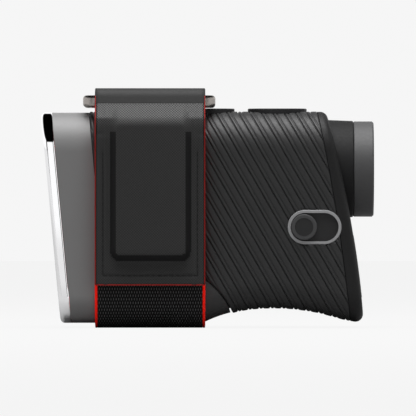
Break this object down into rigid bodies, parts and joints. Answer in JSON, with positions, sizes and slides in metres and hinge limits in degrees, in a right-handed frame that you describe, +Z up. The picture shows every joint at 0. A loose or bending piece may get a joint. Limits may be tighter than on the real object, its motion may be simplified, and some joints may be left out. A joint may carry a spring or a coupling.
{
  "type": "laser rangefinder",
  "caption": "Pocket laser rangefinder with ribbed rubber grip, chrome-rimmed slanted front and a magnetic wrap strap with a metal ring",
  "frame": {"origin": "middle of the strap's flat underside, on the body's middle plane", "axes": "+X towards the eyepiece, +Y towards the user's right hand side away from the magnet pad, +Z up"},
  "size_m": [0.1127, 0.0494, 0.0811],
  "materials": {
    "polished_bezel": "mirror-polished chrome plating",
    "shell_paint": "satin grey paint",
    "black_plastic": "matte moulded",
    "grip_rubber": "soft-touch ribbed rubber",
    "ring_rubber": "satin rubber",
    "button_rubber": "satin rubber",
    "seal_rubber": "plain rubber",
    "coated_glass": "anti-reflection coated",
    "anodised_black": "black anodised",
    "trim_metal": "satin metal",
    "switch_plastic": "matte moulded",
    "circuit_board": "green solder mask",
    "chip_black": "moulded package",
    "diode_brass": "gold plated",
    "screw_steel": "zinc plated",
    "cell_wrap": "shrink sleeve",
    "ring_metal": "satin nickel",
    "band_elastic": "woven elastic",
    "red_edging": "woven edge",
    "flap_fabric": "twill webbing",
    "pad_fabric": "moulded fabric-covered pad",
    "magnet_nickel": "nickel plated"
  },
  "bodies": {
    "housing": {"band_edging": "red_edging", "battery": "cell_wrap", "battery_spring": "screw_steel", "battery_tube": "black_plastic", "board_chips": "chip_black", "board_screws": "screw_steel", "button_board": "circuit_board", "casing_screws": "screw_steel", "display_frame": "black_plastic", "display_panel": "coated_glass", "door_pin": "screw_steel", "eyepiece_barrel": "black_plastic", "eyepiece_seal": "seal_rubber", "fire_switch": "chip_black", "front_bezel": "polished_bezel", "front_bulkhead": "black_plastic", "front_panel": "black_plastic", "front_shell": "shell_paint", "laser_diode": "diode_brass", "laser_lens": "coated_glass", "laser_lens_retainer": "anodised_black", "laser_tube": "anodised_black", "left_casing": "black_plastic", "loop_patch": "flap_fabric", "main_board": "circuit_board", "mode_switch": "chip_black", "objective_lens": "coated_glass", "objective_retainer": "anodised_black", "objective_tube": "anodised_black", "prism_housing": "black_plastic", "rear_bulkhead": "black_plastic", "rear_cover": "black_plastic", "receiver_diode": "diode_brass", "right_casing": "black_plastic", "roof_prism": "coated_glass", "rubber_grip": "grip_rubber", "slide_switch": "black_plastic", "strap_band": "band_elastic", "strap_ring": "ring_metal", "switch_plate": "switch_plastic", "switch_trim": "trim_metal"},
    "fire_button": {"fire_button": "button_rubber"},
    "mode_button": {"mode_button": "button_rubber"},
    "slope_knob": {"slope_knob": "switch_plastic", "knob_inlay": "switch_plastic"},
    "diopter": {"diopter_ring": "ring_rubber", "eyepiece_cell": "black_plastic", "field_lens": "coated_glass", "eye_lens": "coated_glass", "eye_lens_retainer": "anodised_black"},
    "battery_door": {"battery_door": "black_plastic", "door_contact": "diode_brass", "door_seal": "seal_rubber"},
    "strap_flap": {"strap_flap": "flap_fabric", "flap_edging": "red_edging", "magnet_pad": "pad_fabric", "pad_magnets": "magnet_nickel", "hook_patch": "flap_fabric"}
  },
  "joints": [
    {"name": "fire_button_press", "type": "slide", "parent": "housing", "child": "fire_button", "axis": [0, 0, -1], "range_m": [0, 0.0006], "stiffness_N_per_m": 300, "springref_m": -0.001},
    {"name": "mode_button_press", "type": "slide", "parent": "housing", "child": "mode_button", "axis": [0, 0, -1], "range_m": [0, 0.0006], "stiffness_N_per_m": 300, "springref_m": -0.001},
    {"name": "slope_switch_slide", "type": "slide", "parent": "housing", "child": "slope_knob", "axis": [1, 0, 0], "range_m": [0, 0.0071]},
    {"name": "diopter_turn", "type": "hinge", "parent": "housing", "child": "diopter", "pos_m": [0.0722, 0, 0.0538], "axis": [1, 0, 0], "range_deg": [-60, 60]},
    {"name": "battery_door_hinge", "type": "hinge", "parent": "housing", "child": "battery_door", "pos_m": [0.06998, 0, 0.0103], "axis": [0, 1, 0], "range_deg": [0, 90]},
    {"name": "strap_flap_lift", "type": "hinge", "parent": "housing", "child": "strap_flap", "pos_m": [0, -0.0145, 0.0767], "axis": [-1, 0, 0], "range_deg": [0, 100]}
  ]
}
